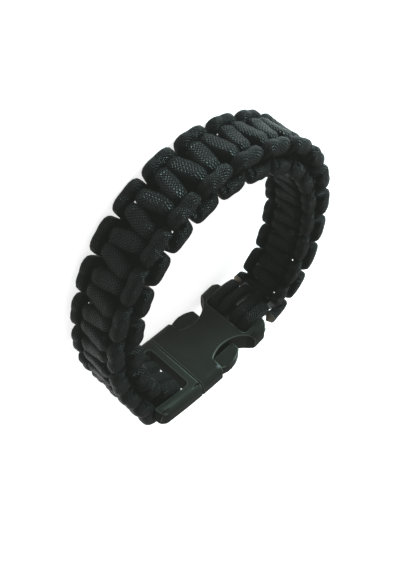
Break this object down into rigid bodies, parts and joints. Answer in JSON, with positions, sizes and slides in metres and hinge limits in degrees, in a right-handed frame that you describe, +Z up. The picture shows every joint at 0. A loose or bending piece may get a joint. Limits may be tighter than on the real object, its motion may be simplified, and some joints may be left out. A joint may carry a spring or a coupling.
{
  "type": "paracord bracelet",
  "caption": "Black paracord bracelet in a two-core cobra weave, fastened by a curved side-release buckle and lying on its side.",
  "frame": {"origin": "middle of the bracelet's outline, on the surface that it lies on", "axes": "+X along the buckle, from its slotted half to its windowed half; +Y from the front of the band to the buckle; +Z up, along the axis of the wrist hole"},
  "size_m": [0.0808, 0.0757, 0.023],
  "materials": {
    "buckle": "satin black moulded acetal",
    "cord": "black braided nylon sheath"
  },
  "bodies": {
    "root": {"male_buckle": "buckle", "female_buckle": "buckle", "core_cord": "cord", "front_cord": "cord", "back_cord": "cord"}
  },
  "joints": []
}
